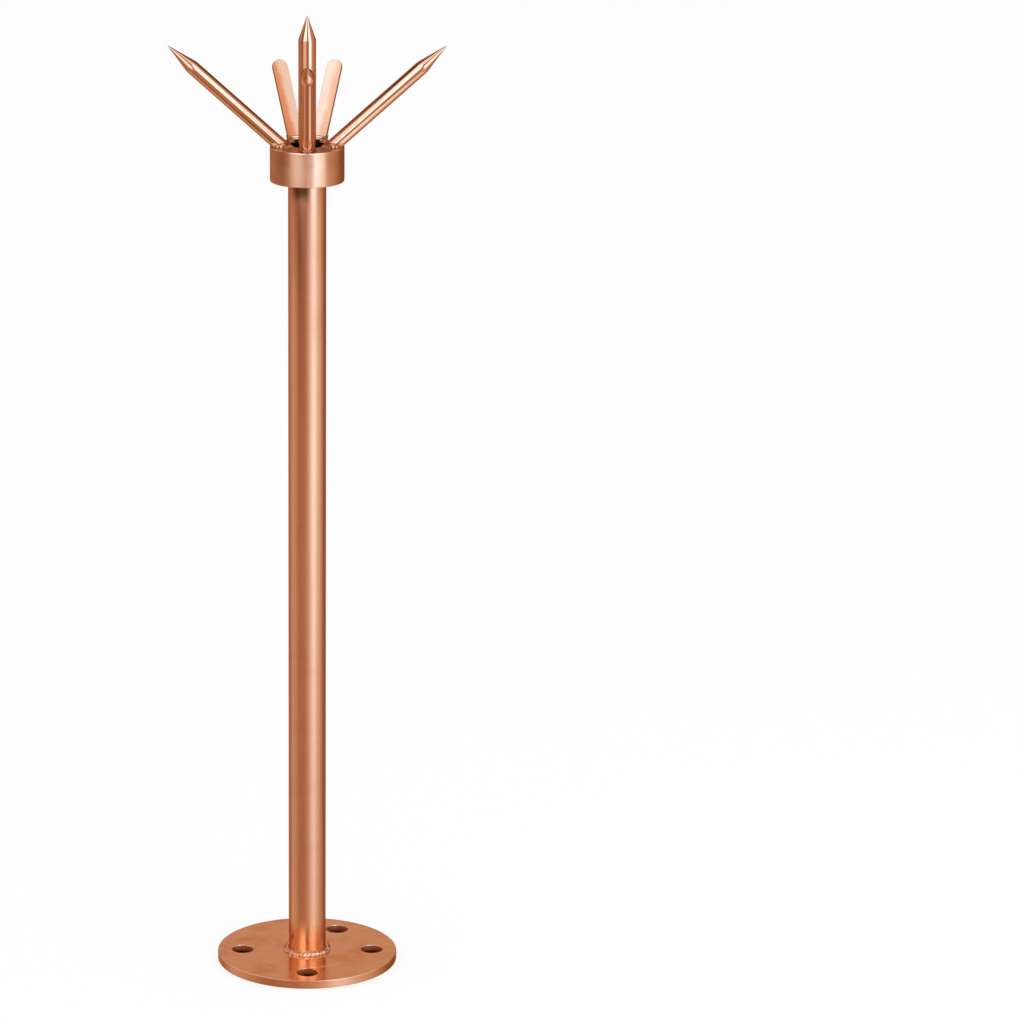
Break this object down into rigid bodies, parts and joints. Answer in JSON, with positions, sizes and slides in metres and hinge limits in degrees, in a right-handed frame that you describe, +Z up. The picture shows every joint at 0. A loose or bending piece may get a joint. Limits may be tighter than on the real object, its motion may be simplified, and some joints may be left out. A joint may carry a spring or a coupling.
{
  "type": "lightning rod",
  "caption": "Free-standing copper lightning rod: bolted round flange, welded tube mast, turned head, pointed needles leaning out round an upright one, and flat strips behind.",
  "frame": {"origin": "centre of the base flange's underside, on the ground", "axes": "+Z up along the mast's axis, -Y towards the front needle, +X to the right needle"},
  "size_m": [0.2748, 0.2227, 0.9854],
  "materials": {
    "flange_copper": "satin copper with soft heat stains",
    "mast_copper": "drawn copper tube, satin, with faint lengthwise grain",
    "head_copper": "turned copper, satin",
    "needle_copper": "turned and polished copper",
    "strip_copper": "bright rolled copper strip",
    "weld_copper": "bright rippled copper weld"
  },
  "bodies": {
    "root": {"base_flange": "flange_copper", "base_weld": "weld_copper", "mast": "mast_copper", "head_weld": "weld_copper", "head": "head_copper", "centre_needle": "needle_copper", "centre_needle_weld": "weld_copper", "left_needle": "needle_copper", "left_needle_weld": "weld_copper", "right_needle": "needle_copper", "right_needle_weld": "weld_copper", "front_needle": "needle_copper", "front_needle_weld": "weld_copper", "left_strip": "strip_copper", "left_strip_weld": "weld_copper", "right_strip": "strip_copper", "right_strip_weld": "weld_copper"}
  },
  "joints": []
}
